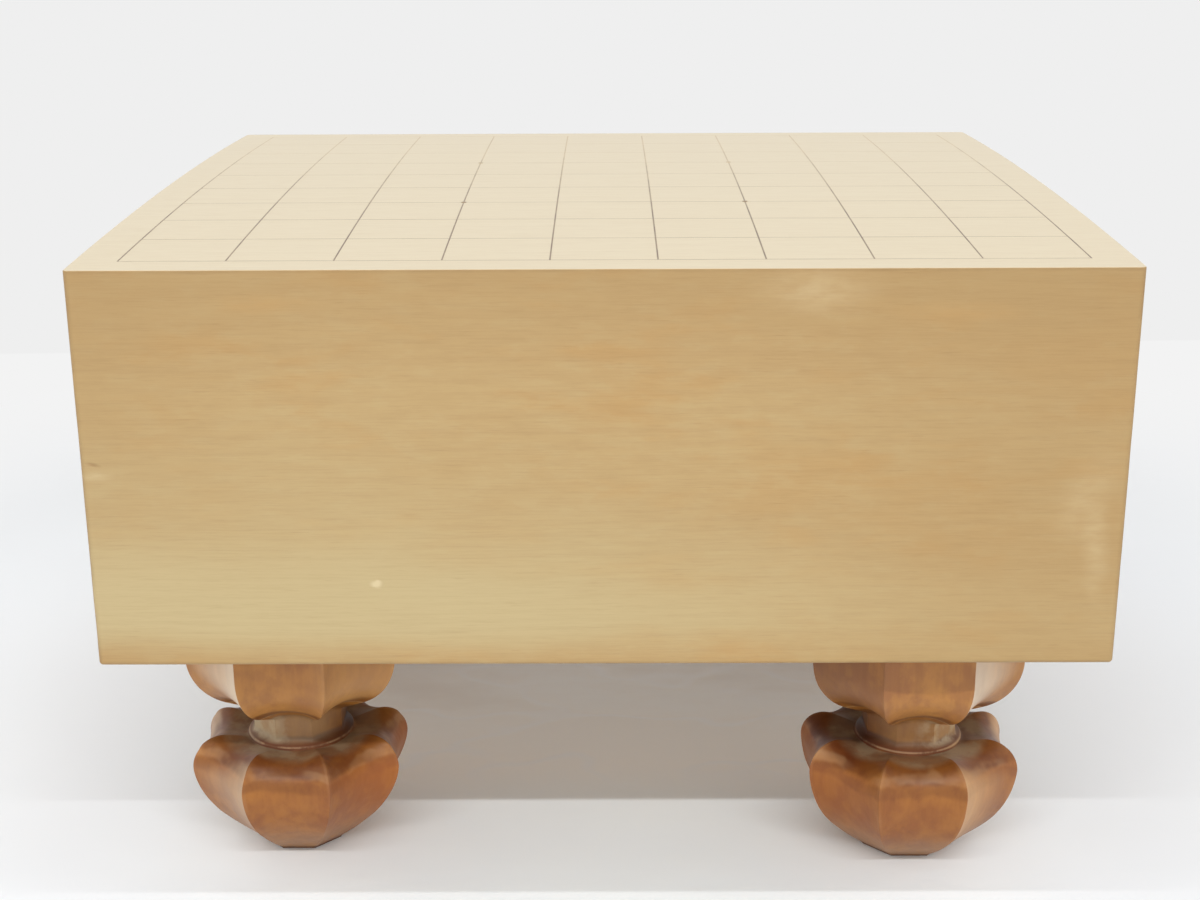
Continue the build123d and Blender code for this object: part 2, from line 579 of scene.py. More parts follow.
def line_stations(pitch, width, steps_between):
    """Places across all ten lines: (place, share of the line's height, number of its line)."""
    stations = []
    for line in range(squares + 1):
        middle = (line - squares / 2) * pitch
        if line:
            gap = pitch - width
            start = middle - width / 2 - gap
            for step in range(1, steps_between):
                stations.append((start + gap * step / steps_between, 0.0, None))
        for offset, share in line_section:
            stations.append((middle + offset * width, share, line))
    return stations


def add_lines():
    """Ten lines each way as one film of lacquer with a rounded top."""
    columns = line_stations(square_length, column_width, 1)
    rows = line_stations(square_depth, row_width, steps_between_lines)
    number = {}
    vertices = []

    def vertex(i, j, on_top):
        if (i, j, on_top) not in number:
            number[i, j, on_top] = len(vertices)
            x, share_x, _ = columns[i]
            y, share_y, _ = rows[j]
            lift = line_height * max(share_x, share_y) if on_top else -lacquer_sink
            vertices.append((x, y, crown_height(y) + lift))
        return number[i, j, on_top]

    def filled(i, j):
        if not (0 <= i < len(columns) - 1 and 0 <= j < len(rows) - 1):
            return False
        in_column = columns[i][2] is not None and columns[i][2] == columns[i + 1][2]
        in_row = rows[j][2] is not None and rows[j][2] == rows[j + 1][2]
        return in_column or in_row

    faces = []
    for i in range(len(columns) - 1):
        for j in range(len(rows) - 1):
            if not filled(i, j):
                continue
            ring = ((i, j), (i + 1, j), (i + 1, j + 1), (i, j + 1))
            faces.append([vertex(*corner, True) for corner in ring])
            faces.append([vertex(*corner, False) for corner in reversed(ring)])
            beside = ((i, j - 1), (i + 1, j), (i, j + 1), (i - 1, j))
            for k, cell in enumerate(beside):
                if not filled(*cell):
                    a, b = ring[k], ring[(k + 1) % 4]
                    faces.append(
                        (vertex(*a, False), vertex(*b, False), vertex(*b, True), vertex(*a, True))
                    )
    lines = add_piece("lacquer_lines", vertices, faces, sharp_angle=60)
    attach(lines, "board")
    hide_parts("grid_lines")
    return lines


def add_dots():
    """Four round drops of lacquer, three squares apart."""
    vertices, faces = [], []
    for side_x, side_y in ((-1, -1), (-1, 1), (1, -1), (1, 1)):
        middle_x = side_x * squares_between_dots * square_length / 2
        middle_y = side_y * squares_between_dots * square_depth / 2
        first = len(vertices)
        shares = [(1.0, -lacquer_sink)]
        for ring in range(dot_rings + 1):
            angle = ring / (dot_rings + 1) * pi / 2
            shares.append((cos(angle), dot_height * sin(angle)))
        for reach, lift in shares:
            for k in range(dot_segments):
                angle = 2 * pi * k / dot_segments
                x = middle_x + dot_radius * reach * cos(angle)
                y = middle_y + dot_radius * reach * sin(angle)
                vertices.append((x, y, crown_height(y) + lift))
        faces.extend(
            tuple(first + corner for corner in face)
            for face in ring_faces(len(shares), dot_segments)
        )
        last = first + (len(shares) - 1) * dot_segments
        faces.append(tuple(first + k for k in reversed(range(dot_segments))))
        faces.append(tuple(last + k for k in range(dot_segments)))
    dots = add_piece("lacquer_dots", vertices, faces, sharp_angle=75)
    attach(dots, "board")
    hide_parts("star_dots")
    return dots


def arc_through(start, middle, end, steps):
    """Points of the arc through three points, without the first one."""
    (ax, ay), (bx, by), (cx, cy) = start, middle, end
    d = 2 * (ax * (by - cy) + bx * (cy - ay) + cx * (ay - by))
    a2, b2, c2 = ax**2 + ay**2, bx**2 + by**2, cx**2 + cy**2
    ox = (a2 * (by - cy) + b2 * (cy - ay) + c2 * (ay - by)) / d
    oy = (a2 * (cx - bx) + b2 * (ax - cx) + c2 * (bx - ax)) / d
    radius = hypot(ax - ox, ay - oy)
    first = atan2(ay - oy, ax - ox)
    turn = (atan2(cy - oy, cx - ox) - first + pi) % (2 * pi) - pi
    angles = [first + turn * k / steps for k in range(1, steps + 1)]
    return [(ox + radius * cos(angle), oy + radius * sin(angle)) for angle in angles]


def leg_profile(line):
    """The ridge, line 0, or the flute, line 1, as evenly divided runs from top to foot."""
    points = [leg_outline["collar_top"][line]]
    ends = []
    for *places, steps in leg_outline.values():
        ends.append(places[line])
        if steps == 0:
            continue
        if len(ends) == 3:
            points.extend(arc_through(*ends, steps))
        else:
            start, end = np.array(ends)
            points.extend(tuple(start + (end - start) * k / steps) for k in range(1, steps + 1))
        ends = ends[-1:]
    return np.array(points) * MM


def fluted_surface():
    """The leg's surface as rows of points round its axis, from the collar down to the foot."""
    half_turn = pi / flutes

    # Across a flute: places from -1 at one ridge to 1 at the next, closer near the ridges
    across = np.sin((np.arange(columns_per_flute) / columns_per_flute - 0.5) * pi)
    rows = []
    lines = zip(leg_profile(0), leg_profile(1))
    for (ridge_radius, ridge_depth), (flute_radius, flute_depth) in lines:
        x = flute_radius + (ridge_radius * cos(half_turn) - flute_radius) * across**2
        y = ridge_radius * sin(half_turn) * across
        z = -(flute_depth + (ridge_depth - flute_depth) * across**2)
        row = []
        for flute_number in range(flutes):
            angle = flute_number * 2 * half_turn
            turned_x = x * cos(angle) - y * sin(angle)
            turned_y = x * sin(angle) + y * cos(angle)
            row.append(np.stack((turned_x, turned_y, z), axis=-1))
        rows.append(np.concatenate(row))
    return np.array(rows)


def carved(grid, seed):
    """The surface as cutting leaves it, slightly uneven, with its edges softened by sanding."""
    for j in range(1, grid.shape[0] - 1):
        for k in range(grid.shape[1]):
            x, y, z = grid[j, k]
            reach = hypot(x, y)
            push = (noise.noise(Vector((x, y, z)) * carving_scale + seed) - 1) * carving_ripple
            grid[j, k, :2] *= 1 + push / reach
    for _ in range(sanding_passes):
        around = (np.roll(grid, 1, axis=1) + np.roll(grid, -1, axis=1)) / 2
        along = grid.copy()
        along[1:-1] = (grid[:-2] + grid[2:]) / 2
        sanded = (grid * 2 + around + along) / 4
        grid[1:-1] = sanded[1:-1]
    return grid


def eased(value, low, high):
    """From 0 at low to 1 at high, smoothly."""
    share = np.clip((value - low) / (high - low), 0.0, 1.0)
    return share * share * (3 - 2 * share)


def touched(grid, foot_shift, slimmer_below, lower_shoulder):
    """The carved surface with one leg's own small differences below the neck."""
    crest, belly, foot = (leg_outline[name][0][1] * MM for name in ("crest", "belly", "foot"))
    depth = -grid[..., 2]
    grid[..., :2] *= (1 - slimmer_below * eased(depth, belly, foot))[..., None]
    grid[..., 0] += foot_shift * eased(depth, crest, foot)
    lowered = eased(depth, *lowered_from) * (1 - eased(depth, *lowered_to))
    grid[..., 2] -= lower_shoulder * lowered
    return grid


def square_ring(directions, half_width, height):
    """Points on a square at the given height, in the given directions from its middle."""
    reach = half_width / np.abs(directions).max(axis=1, keepdims=True)
    flat = directions * reach
    return np.concatenate((flat, np.full((len(flat), 1), height)), axis=1)


def leg_mesh(name, seed):
    """Rings from the tenon's end down over the collar, neck and fruit to the foot."""
    surface = carved(fluted_surface(), seed)
    if name in carvers_touch:
        surface = touched(surface, **carvers_touch[name])
    directions = surface[0, :, :2] / np.linalg.norm(surface[0, :, :2], axis=1, keepdims=True)
    rings = [
        square_ring(directions, tenon_half_width - tenon_chamfer, tenon_length),
        square_ring(directions, tenon_half_width, tenon_length - tenon_chamfer),
        square_ring(directions, tenon_half_width, 0.0),
        *surface,
    ]
    count = len(directions)
    vertices = np.concatenate(rings)
    faces = [tuple(reversed(face)) for face in ring_faces(len(rings), count)]
    last = count * (len(rings) - 1)
    faces.append(tuple(range(count)))
    faces.append(tuple(reversed(range(last, last + count))))
    return vertices, faces


def add_legs():
    legs = []
    for number, (name, x, y) in enumerate(leg_axes()):
        seed = Vector([number * step for step in carving_seed_step])
        leg = add_piece(f"carved_{name}", *leg_mesh(name, seed), sharp_angle=50)
        leg.location = (x, y, underside)
        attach(leg, name)
        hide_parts(name)
        legs.append(leg)
    return legs


class Value:
    """A number in a node tree, for use in plain arithmetic."""

    def __init__(self, graph, socket):
        self.graph = graph
        self.socket = socket

    def __add__(self, other):
        return self.graph.math("ADD", self, other)

    def __sub__(self, other):
        return self.graph.math("SUBTRACT", self, other)

    def __rsub__(self, other):
        return self.graph.math("SUBTRACT", other, self)

    def __mul__(self, other):
        return self.graph.math("MULTIPLY", self, other)

    def __truediv__(self, other):
        return self.graph.math("DIVIDE", self, other)

    def __abs__(self):
        return self.graph.math("ABSOLUTE", self)

    __radd__ = __add__

    def fade(self, low, high, at_low=0.0, at_high=1.0):
        """From at_low to at_high as the value goes from low to high, smoothly."""
        if low > high:
            low, high, at_low, at_high = high, low, at_high, at_low
        inputs = {0: self, 1: low, 2: high, 3: at_low, 4: at_high}
        made = self.graph.node("MapRange", inputs, interpolation_type="SMOOTHSTEP")
        return Value(self.graph, made.outputs[0])

    def between(self, low, high, soft):
        """1 between low and high, fading to 0 over soft outside them."""
        return self.fade(low - soft, low) * self.fade(high, high + soft, 1.0, 0.0)


class Graph:
    """A node tree, with a short call for each kind of node that is used here."""

    def __init__(self, owner):
        owner.use_nodes = True
        self.tree = owner.node_tree
        self.tree.nodes.clear()

    def node(self, kind, inputs=None, **settings):
        made = self.tree.nodes.new(f"ShaderNode{kind}")
        for name, value in settings.items():
            setattr(made, name, value)
        for key, value in (inputs or {}).items():
            value = getattr(value, "socket", value)
            if isinstance(value, bpy.types.NodeSocket):
                self.tree.links.new(value, made.inputs[key])
            else:
                made.inputs[key].default_value = value
        return made

    def math(self, operation, a, b=0.0, clamp=False):
        made = self.node("Math", {0: a, 1: b}, operation=operation, use_clamp=clamp)
        return Value(self, made.outputs[0])

    def noise(self, vector, scale, detail=3, roughness=0.55):
        """Noise from 0 to 1; the scale is one number, or one for each axis."""
        if isinstance(scale, tuple):
            vector = self.node("Mapping", {"Vector": vector, "Scale": scale}).outputs[0]
            scale = 1.0
        inputs = {"Vector": vector, "Scale": scale, "Detail": detail, "Roughness": roughness}
        return Value(self, self.node("TexNoise", inputs).outputs[0])

    def patterns(self, vector, settings):
        """One noise for each named pattern."""
        return {name: self.noise(vector, *values) for name, values in settings.items()}

    def mix(self, share, a, b, blend="MIX"):
        """Colour a blended with colour b."""
        made = self.node("Mix", {0: share, 6: a, 7: b}, data_type="RGBA", blend_type=blend)
        return made.outputs[2]

    def darkened_by(self, share, color, stain):
        """The colour multiplied by a darker colour, for stains and for painted shade alike."""
        return self.mix(share, color, stain, "MULTIPLY")

    def toned(self, color, tones, pattern):
        """The colour under tones: (pattern's name, where it starts and is full, share, tone)."""
        for name, start, full, share, tone in tones:
            color = self.mix(pattern[name].fade(start, full, 0.0, share), color, tone)
        return color

    def apart(self, vector):
        """The three numbers of a vector."""
        made = self.node("SeparateXYZ", {"Vector": vector})
        return [Value(self, output) for output in made.outputs]

    def distance(self, a, b, centre=(0.0, 0.0)):
        """Distance of the place (a, b) from the centre."""
        da, db = a - centre[0], b - centre[1]
        return self.math("SQRT", da * da + db * db)

    def spot(self, a, b, centre, half_a, half_b, edge=1.0):
        """1 in an ellipse, fading to 0 over the outer share of its radius that edge gives."""
        da, db = (a - centre[0]) / half_a, (b - centre[1]) / half_b
        return self.distance(da, db).fade(1.0 - edge, 1.0, 1.0, 0.0)

    def rings(self, from_pith, pitch, starts, full, fades):
        """The late wood, the dark part of each growth ring."""
        ring = self.math("FRACT", from_pith / pitch)
        return ring.fade(starts, full) * ring.fade(fades, 1.0, 1.0, 0.0)

    def bump(self, height, distance, strength, below=None):
        inputs = {"Height": height, "Distance": distance, "Strength": strength}
        if below is not None:
            inputs["Normal"] = below
        return self.node("Bump", inputs).outputs[0]


def new_material(name):
    material = bpy.data.materials.new(name)
    return material, Graph(material)


def surface(g, color, roughness, normal, fixed):
    """The Principled shader; fixed holds its values that are the same all over."""
    inputs = {"Base Color": color, "Roughness": roughness, "Normal": normal, **fixed}
    shader = g.node("BsdfPrincipled", inputs)
    g.node("OutputMaterial", {"Surface": shader.outputs[0]})


class BoardPlace:
    """What the board's wood depends on at a point: its place, what it faces, its patterns."""

    def __init__(self, g):
        coordinates = g.node("TexCoord").outputs
        place = coordinates["Object"]
        self.x, self.y, self.z = g.apart(place)
        normal_x, normal_y, normal_z = g.apart(coordinates["Normal"])
        toward, away = (0.6, 0.8), (-0.6, -0.8)
        self.on_end = abs(normal_x).fade(*toward)
        self.on_top = normal_z.fade(*toward)
        self.on_underside = normal_z.fade(*away)
        self.on_front = normal_y.fade(*away)
        self.on_side = 1.0 - g.math("MAXIMUM", self.on_end, abs(normal_z), clamp=True)
        self.pattern = g.patterns(place, board_patterns)
        sway = (self.pattern["warp"] - 0.5) * ring_sway
        self.from_pith = g.distance(self.y, self.z, pith_line) + sway


def board_rings(g, at):
    """The growth rings, some stronger than others."""
    ring_place = g.node("CombineXYZ", {"X": at.from_pith * ring_strength_scale}).outputs[0]
    strength = g.noise(ring_place, 1.0).fade(0.3, 0.75)
    return g.rings(at.from_pith, ring_pitch, *late_wood) * strength


def pale_outer_wood(at):
    """Share of the outer wood, low in front, which is paler, and most so at the left."""
    patch = at.pattern["patch"]
    uneven = (at.pattern["cloud"] + patch - 1.0) * pale_unevenness
    start = at.x * pale_slope + pale_from + uneven
    return (
        (at.from_pith - start).fade(*pale_comes)
        * (at.from_pith + uneven * 0.25).fade(*pale_goes, 1.0, 0.0)
        * (at.x + patch * 0.12).fade(*pale_toward_right, 1.0, 0.15)
    )


def board_tone(g, at, rings, streaks):
    """The wood's colour: brown and pale parts, the top made paler as a painted sheen, then rings,
    pores and flecks.
    """
    color = g.mix(at.pattern["band"].fade(0.3, 0.7), wood_tan, wood_warm)
    color = g.toned(color, board_tones, at.pattern)
    color = g.mix(at.from_pith.fade(*inner_wood) * at.on_side * 0.45, color, wood_brown)
    from_middle = abs(at.x - brown_middle)
    color = g.mix(from_middle.fade(*brown_toward_ends, 0.0, 0.4), color, wood_brown)
    color = g.mix(pale_outer_wood(at) * at.on_side, color, wood_pale)
    # Painted sheen: the top made paler, as the pale surroundings reflect in it at a low angle
    color = g.mix(at.on_top * 0.97, color, wood_top_sheen)
    color = g.mix(at.on_end * 0.6, color, wood_brown)
    ring_share = 0.06 + at.on_end * 0.24 + at.on_top * 0.03 + at.on_underside * 0.16
    color = g.darkened_by(rings * ring_share, color, wood_line)
    color = g.darkened_by(streaks.fade(0.42, 0.68, 0.0, 0.10), color, wood_line)
    return g.darkened_by(at.pattern["fleck"].fade(0.62, 0.8) * 0.14, color, wood_line)


def board_grime(g, at):
    """Share of the grime that handling leaves on the upright, lower and upper edges."""
    wall_top = block_high.z - crown_rise
    edge_x = abs(at.x).fade(half_length - grime_reach, half_length - grime_full)
    edge_y = abs(at.y).fade(half_depth - grime_reach, half_depth - grime_full)
    edge_low = at.z.fade(underside + grime_reach, underside + grime_full)
    edge_high = at.z.fade(wall_top - grime_top_reach, wall_top - grime_full)
    level_edges = g.math("MAXIMUM", edge_low, edge_high * at.on_side)
    edges = g.math("MAXIMUM", edge_x * edge_y, level_edges)
    return edges * at.pattern["grime"].fade(0.3, 0.7, 0.35, 1.0)


def board_marks(g, at, color):
    """The colour with the front's marks, and the shares of the nick and the dent."""
    marked_x = at.x + (at.pattern["patch"] - 0.5) * mark_sway_along
    marked_z = at.z + (at.pattern["cloud"] - 0.5) * mark_sway_up
    scuffed = at.pattern["scuff"].fade(0.25, 0.70, 0.4, 1.0)
    for centre, half_width, half_height, strength, tone in front_marks:
        mark = g.spot(marked_x, marked_z, centre, half_width, half_height)
        color = g.mix(mark * strength * scuffed * at.on_front, color, tone)

    ragged_z = at.z + (at.pattern["speckle"] - 0.5) * nick_sway
    nick = g.spot(marked_x, ragged_z, *pale_nick, edge=0.8) * at.on_front
    color = g.mix(nick * 0.5, color, wood_chalk)

    (dent_x, dent_z), half_width, half_height = dark_dent
    middle = (dent_x, dent_z + dent_slope * dent_x)
    slanted_z = at.z + at.x * dent_slope
    dent = g.spot(at.x, slanted_z, middle, half_width, half_height) * at.on_front
    return g.darkened_by(dent * 0.3, color, wood_line), nick, dent


def board_wood():
    """Pale, fine grained kaya: straight grain on top, broad grain in front, arcs at the ends."""
    material, g = new_material("board_wood")
    at = BoardPlace(g)
    rings = board_rings(g, at)
    streaks = at.pattern["fibre"] * 0.6 + at.pattern["fine_fibre"] * 0.4
    color = board_tone(g, at, rings, streaks)
    color = g.darkened_by(board_grime(g, at) * 0.25, color, wood_edge)
    color, nick, dent = board_marks(g, at, color)
    roughness = 0.28 + streaks * 0.14 + at.on_side * 0.14 + at.on_end * 0.2 + nick * 0.2
    grain = g.bump(streaks * 0.7 + rings * 0.3, 0.09 * MM, 0.5)
    dull = g.bump(at.pattern["dullness"], 0.6 * MM, 0.3, grain)
    pressed = g.bump(1.0 - dent, 0.3 * MM, 0.7, dull)
    surface(g, color, roughness, pressed, {"IOR": 1.5})
    return material


class LegPlace:
    """What a leg's wood depends on at a point: its place on the leg, its side, its patterns."""

    def __init__(self, g):
        coordinates = g.node("TexCoord").outputs
        own = coordinates["Object"]
        self.x, self.y, z = g.apart(own)
        self.normal_x, self.normal_y, self.normal_z = g.apart(coordinates["Normal"])
        self.depth = z * -1.0
        self.radius = g.distance(self.x, self.y)
        leg_place = g.node("ObjectInfo").outputs["Location"]
        shift = g.node("VectorMath", {0: leg_place, 1: pattern_shift}, operation="MULTIPLY")
        shifted = g.node("VectorMath", {0: own, 1: shift.outputs[0]}, operation="ADD")
        self.pattern = g.patterns(shifted.outputs[0], leg_patterns)

        # Painted light and shade, and some tones, differ between the left legs, side -1, and the
        # right legs, side 1
        self.side = g.math("SIGN", g.apart(leg_place)[0])
        self.outward = self.x * self.side
        self.inner_side = (self.outward - self.y * inner_slant).fade(*to_inner_side)
        self.on_collar = self.depth.fade(*to_collar)

        # Stained zones, and those of painted shade, reflection and highlight, end unevenly
        self.uneven = (self.pattern["patch"] + self.pattern["cloud"] - 1.0) * leg_unevenness
        self.level = self.depth + self.uneven
        self.along_lip = self.depth - self.radius * lip_slope
        # The neck's recess, darker with dirt and painted shade
        self.in_recess = self.level.between(*recess_zone) * self.radius.fade(*to_neck)

    def by_side(self, left, right):
        """One value on the left legs and another on the right legs."""
        return self.side.fade(-1.0, 1.0, left, right)


def leg_tone(g, at, streaks):
    """The wood's own colour, with rings that show as arches on each bulge, and pores."""
    sway = (at.pattern["warp"] - 0.5) * leg_ring_sway
    from_pith = g.distance(at.x, at.y, leg_pith) + sway
    rings = g.rings(from_pith, leg_ring_pitch, *leg_late_wood)
    color = g.mix(at.pattern["cloud"].fade(0.38, 0.60), leg_brown, leg_orange)
    color = g.toned(color, leg_tones, at.pattern)
    color = g.darkened_by(at.depth.fade(*to_redder), color, leg_redder)
    color = g.darkened_by(rings * 0.07, color, leg_line)
    return g.darkened_by(streaks.fade(0.42, 0.7, 0.0, 0.11), color, leg_line)


def stain_and_shade_share(at):
    """How much stain and painted shade lie: stain under the collar, dirt and painted shade along
    the crest, a painted dark reflection below the shoulder, dirt and painted shade in the neck's
    recess, painted shade on inner sides.
    """
    cloud, patch = at.pattern["cloud"], at.pattern["patch"]
    lip = (at.along_lip + at.uneven * 0.4).between(*lip_zone)
    crest_end = at.radius + (cloud - 0.5) * crest_end_sway
    crest = at.depth.between(*crest_zone) * crest_end.fade(*to_crest_end)
    shoulder = at.level.between(*shoulder_zone) * cloud.fade(0.35, 0.60, 0.3, 1.0)
    shade = at.level.between(*shaded_zone) * 0.35 + at.depth.fade(*to_shaded_fruit, 0.0, 0.20)
    return (
        lip * patch.fade(0.3, 0.6, 0.35, 0.75)
        # The crest: dirt, and painted shade under the board
        + crest * (0.75 + at.inner_side * at.by_side(-0.22, 0.0))
        # A painted dark reflection below the shoulder
        + shoulder * 0.35
        # Dirt and painted shade in the neck's recess
        + at.in_recess * 0.2
        # Painted shade on the inner sides
        + at.inner_side * at.by_side(0.25, 1.0) * shade
        + at.depth.fade(*to_stained_fruit, 0.0, 0.12)
        + at.depth.fade(*to_low_fruit, 0.0, 0.03)
        # Painted shade on the inner side of the right legs' collars
        + at.on_collar * at.inner_side * at.by_side(0.0, 1.0) * 0.6
    )


def stained_and_shaded_leg(g, at, color):
    """Stain and painted shade in the hollows and on the inner side, painted light on the left
    legs' collars, and deeper orange on the fruits' inner sides.
    """
    color = g.darkened_by(g.math("MINIMUM", stain_and_shade_share(at), 1.0), color, leg_stain_and_shade)
    # Painted shade on the inner side of the neck
    dark_neck = at.depth.between(*dark_neck_zone) * at.radius.fade(*to_neck) * at.inner_side
    color = g.darkened_by(dark_neck * 0.85, color, leg_deep_shade)
    # Painted light on the inner side of the left legs' collars
    lit = at.on_collar * at.by_side(1.0, 0.0) * at.outward.fade(*to_lit_side)
    color = g.mix(lit * 0.35, color, leg_lit)
    russet = at.depth.fade(*to_fruit) * at.inner_side * at.by_side(0.38, 0.2)
    return g.mix(russet, color, leg_russet)


def sheened_leg(g, at, color):
    """Flutes that face out get a painted sheen of the bright surroundings; the foot a dusty tone
    with a painted floor reflection, over a painted contact shadow.
    """
    # Painted sheen: the bright surroundings reflected on the flutes that face out
    facing_out = at.normal_x * at.side
    outward_sheen = (
        facing_out.fade(0.45, 0.86)
        * facing_out.fade(0.985, 0.90, 0.15, 1.0)
        * at.normal_y.fade(0.20, -0.20, 0.25, 1.0)
        * at.pattern["cloud"].fade(0.25, 0.65, 0.75, 1.0)
        * (0.44 + at.on_collar * 0.28)
    )
    outward_sheen = g.math("MAXIMUM", outward_sheen, at.on_collar * 0.04)
    sheen_tone = g.mix(at.by_side(0.0, 1.0), leg_sheen_and_dust, leg_sheen_right)
    sheen_tone = g.mix(at.on_collar, sheen_tone, leg_sheen_collar)
    color = g.mix(outward_sheen, color, sheen_tone)
    # Dusty foot, with a painted reflection of the floor
    color = g.mix(at.depth.fade(*to_foot_dust_and_reflection, 0.0, 0.20), color, leg_dust_and_sheen)
    # A painted contact shadow along the foot's lower edge
    return g.darkened_by(at.depth.fade(*to_contact_shadow) * 0.6, color, leg_deep_shade)


def dusty_and_sheened_leg(g, at, color):
    """The colour under the dusty neck, and under a dusty tone and a painted sheen on what faces
    up, and the share of both.
    """
    dusty = at.pattern["dust_and_sheen"].fade(0.42, 0.6)
    on_neck = at.depth.between(*dusty_neck_zone) * at.radius.fade(*to_bare_neck)
    neck_dust = on_neck * at.outward.fade(*to_outer_side) * at.y.fade(*to_neck_front) * dusty
    # What faces up gets a dusty tone and a painted sheen of the pale surroundings
    facing_up = at.normal_z.fade(0.35, 0.85) * at.radius.fade(*past_ring)
    top_dust_and_sheen = facing_up * at.radius.fade(*to_hollow) * (0.2 + dusty * 0.3)
    color = g.mix(neck_dust * 0.65, color, leg_sheen_and_dust)
    dust_and_sheen = g.math("MAXIMUM", neck_dust * 0.3, top_dust_and_sheen)
    color = g.mix(dust_and_sheen, color, leg_dust_and_sheen)
    haze = on_neck * at.inner_side.fade(0.6, 0.0) * at.by_side(0.34, 0.2)
    return g.mix(haze, color, leg_dust_and_sheen), dust_and_sheen


def highlight_and_rub_share(g, at):
    """How pale the painted highlights make the ring's edge, the collar's lip and the band under
    the crest on the shoulder, and how pale the ridges are rubbed, with a painted highlight.
    """
    patch, mottle = at.pattern["patch"], at.pattern["mottle"]
    # A painted highlight on the ring's edge
    ring = (
        abs(at.radius - ring_radius).fade(*ring_radius_reach)
        * abs(at.depth - ring_depth).fade(*ring_depth_reach)
        * at.inner_side.fade(1.0, 0.2, 0.05, 0.34)
        * mottle.fade(0.38, 0.58, 0.2, 1.0)
    )
    # A painted highlight along the collar's lip
    lip = (
        abs(at.along_lip - lip_edge).fade(*lip_edge_reach)
        * at.radius.between(*lip_edge_zone)
        * mottle.fade(0.38, 0.58, 0.1, 0.5)
    )
    # Rubbed ridges, with a painted highlight
    turn = g.math("ARCTAN2", at.y, at.x)
    ridge = g.math("COSINE", turn * float(flutes)).fade(-0.975, -0.997)
    ridge = ridge * patch.fade(0.35, 0.65) * at.radius.fade(*to_ridge)
    # A painted highlight under the crest
    shoulder = at.level.between(*under_crest_zone) * patch.fade(0.40, 0.65)
    return ring + lip + ridge * 0.07 + shoulder * 0.16


def leg_wood():
    """Darker, waxed wood of the carved legs with stains, dusty and rubbed places, painted shade
    and light, a painted sheen and painted highlights.
    """
    material, g = new_material("leg_wood")
    at = LegPlace(g)
    streaks = at.pattern["fibre"] * 0.65 + at.pattern["fine_fibre"] * 0.35
    color = leg_tone(g, at, streaks)
    color = stained_and_shaded_leg(g, at, color)
    color = sheened_leg(g, at, color)
    color, dust_and_sheen = dusty_and_sheened_leg(g, at, color)
    color = g.mix(highlight_and_rub_share(g, at), color, leg_highlight)
    patch = at.pattern["patch"]
    roughness = 0.36 + streaks * 0.14 + dust_and_sheen * 0.4 + patch * 0.08 + at.in_recess * 0.2
    grain = g.bump(streaks, 0.12 * MM, 0.5)
    tooled = g.bump(at.pattern["tooling"], 0.5 * MM, 0.35, grain)
    waxed = {"IOR": 1.4, "Coat Weight": 0.2, "Coat Roughness": 0.36, "Coat IOR": 1.5}
    surface(g, color, roughness, tooled, waxed)
    return material


def lacquer():
    """Dark brown lacquer, drawn on by hand, worn thin in places, and paler towards the back as a
    painted sheen.
    """
    material, g = new_material("lacquer")
    place = g.node("TexCoord").outputs["Object"]
    y = g.apart(place)[1]
    worn_and_sheen = g.noise(place, 60.0, 4.0).fade(0.35, 0.65, 0.06, 0.34)
    # Paler towards the back: a painted sheen
    worn_and_sheen = g.math("MINIMUM", worn_and_sheen + y.fade(*sheen_toward_back, 0.0, 0.8), 1.0)
    color = g.mix(worn_and_sheen, lacquer_dark, lacquer_worn_and_sheen)
    speckle = g.noise(place, 900.0, 2.0)
    roughness = 0.24 + speckle * 0.16 + worn_and_sheen * 0.15
    surface(g, color, roughness, g.bump(speckle, 0.06 * MM, 0.5), {"IOR": 1.5})
    return material


def paper_under_board(g, x, y, pattern, color):
    """The paper where the board shades it, with wrinkles and a painted shade, deepest far under,
    painted light towards the front, and the share of its folds.
    """
    under = y.fade(*under_front) * y.fade(*under_back) * abs(x).fade(*under_side)
    deeper = y.fade(*deeper_under)
    # Painted shade in wrinkles, deepest far under the board
    wrinkled_shade = under * pattern["wrinkle"].fade(0.35, 0.65) * (0.06 + deeper * 0.64)
    color = g.mix(wrinkled_shade, color, paper_wrinkled_shade)
    # Painted light, strongest towards the board's front
    color = g.mix(under * (0.92 + deeper * -0.5), color, paper_lit_under)
    fold = under * abs(pattern["fold"] - 0.5).fade(0.030, 0.0)
    return g.mix(fold * 0.7, color, paper_fold), fold


def paper_further_off(g, x, y, color):
    """The paper greyer beside the legs, at the right as painted shade, all round the board and in
    front.
    """
    beside = g.distance(x, y * 0.6).fade(*beside_legs)
    color = g.mix(g.math("MAXIMUM", beside, y.fade(*before_board)), color, paper_beside)
    # Painted shade at the right, where less light falls
    color = g.mix(x.fade(*right_of_board, 0.0, 0.6), color, paper_right_shade)
    color = g.mix(g.distance(x, y).fade(*around_board), color, paper_around)
    return g.mix(y.fade(*well_before_board), color, paper_in_front)


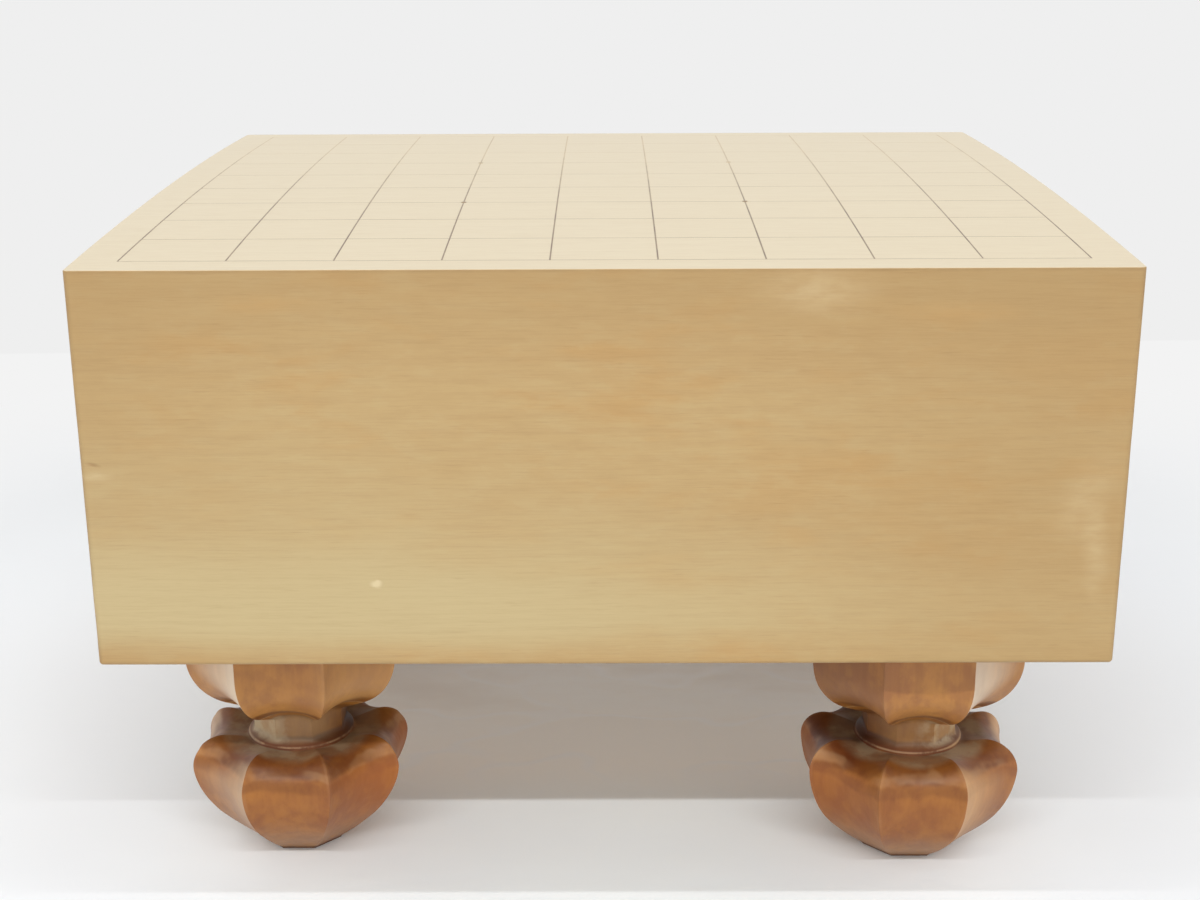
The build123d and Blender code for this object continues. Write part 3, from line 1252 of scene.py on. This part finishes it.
def floor_paper():
    """Pale paper; far off it shows the same pale tone to the camera, so it ends nowhere."""
    material, g = new_material("floor_paper")
    place = g.node("TexCoord").outputs["Object"]
    x, y, _ = g.apart(place)
    pattern = g.patterns(place, paper_patterns)
    crease, fibre = pattern["crease"], pattern["fibre"]
    light = (crease - 0.5) * 0.14 + fibre * 0.02
    color = g.mix(light.fade(-0.05, 0.05), paper_cool, paper_white)
    color, fold = paper_under_board(g, x, y, pattern, color)
    color = paper_further_off(g, x, y, color)
    past_sheet = (y - x * sheet_back_slope).fade(*sheet_back_edge)
    color = g.mix(past_sheet, color, backdrop_tone)
    creased = g.bump(crease * 0.7 + fold * 0.1, 6 * MM, 0.3, g.bump(fibre, 0.1 * MM, 0.3))
    inputs = {"Base Color": color, "Roughness": 0.65 + fibre * 0.15, "Normal": creased}
    paper = g.node("BsdfPrincipled", {**inputs, "Specular IOR Level": 0.05})
    shown = g.mix(past_sheet, paper_shown_far, backdrop_tone)
    glow = g.node("Emission", {"Color": shown, "Strength": 1.0})
    camera_ray = g.node("LightPath").outputs["Is Camera Ray"]
    share = g.distance(x, y).fade(*shown_far) * camera_ray
    mixed = g.node("MixShader", {0: share, 1: paper.outputs[0], 2: glow.outputs[0]})
    g.node("OutputMaterial", {"Surface": mixed.outputs[0]})
    return material


def add_floor():
    half = floor_half_size
    corners = [(-half, -half, 0), (half, -half, 0), (half, half, 0), (-half, half, 0)]
    floor = add_piece("floor", corners, [(0, 1, 2, 3)])
    floor.data.materials.append(floor_paper())


def tube_energy(level, cosine):
    """Power of a long lamp that gives the floor under it the level wanted."""
    half_reach = lamp_distance * tan(lamp_half_angle)
    share = 0.0
    for step in range(lamp_steps):
        along = half_reach * (2 * (step + 0.5) / lamp_steps - 1)
        span = hypot(lamp_distance, along)
        share += (lamp_distance / span) * (lamp_distance * cosine / span) / span**2 / lamp_steps
    return level * pi**2 / share


def add_tube_lamp(name, level, toward):
    """A long lamp along X that adds the given level to the floor under it."""
    direction = Vector(toward).normalized()
    data = bpy.data.lights.new(name, "AREA")
    data.shape = "RECTANGLE"
    data.size = 2 * lamp_distance * tan(lamp_half_angle)
    data.size_y = lamp_width
    data.energy = tube_energy(level, direction.z)
    lamp = bpy.data.objects.new(name, data)
    lamp.location = direction * lamp_distance
    lamp.rotation_mode = "QUATERNION"
    lamp.rotation_quaternion = direction.to_track_quat("Z", "Y")
    bpy.context.scene.collection.objects.link(lamp)


def add_light():
    """The sky, with the pale backdrop in its place where it is seen, and the lamps."""
    world = bpy.data.worlds.new("world")
    g = Graph(world)
    rays = g.node("LightPath").outputs
    seen = g.math("MAXIMUM", rays["Is Camera Ray"], rays["Is Glossy Ray"])
    seen = g.math("MAXIMUM", seen, rays["Is Transmission Ray"])
    _, toward_y, height = g.apart(g.node("TexCoord").outputs["Generated"])
    from_above = height.fade(*ambient_heights, ambient_low, ambient_high)
    ambient = from_above * toward_y.fade(*front_span, front_share, 1.0)
    around = g.node("Background", {"Color": (1, 1, 1, 1), "Strength": ambient})
    reflected = toward_y.fade(*front_reflection_span, front_reflection, 1.0)
    shown = g.math("MAXIMUM", reflected, rays["Is Camera Ray"])
    backdrop = g.node("Background", {"Color": backdrop_tone, "Strength": shown})
    mixed = g.node("MixShader", {0: seen, 1: around.outputs[0], 2: backdrop.outputs[0]})
    g.node("OutputWorld", {"Surface": mixed.outputs[0]})
    bpy.context.scene.world = world
    add_tube_lamp("front_lamp", *front_lamp)
    add_tube_lamp("overhead_lamp", *overhead_lamp)


add_camera()
block = add_block()
lines = add_lines()
dots = add_dots()
legs = add_legs()
block.data.materials.append(board_wood())
lacquer_material = lacquer()
for piece in (lines, dots):
    piece.data.materials.append(lacquer_material)
leg_material = leg_wood()
for leg in legs:
    leg.data.materials.append(leg_material)
add_floor()
add_light()
bpy.context.scene.view_settings.view_transform = "Standard"
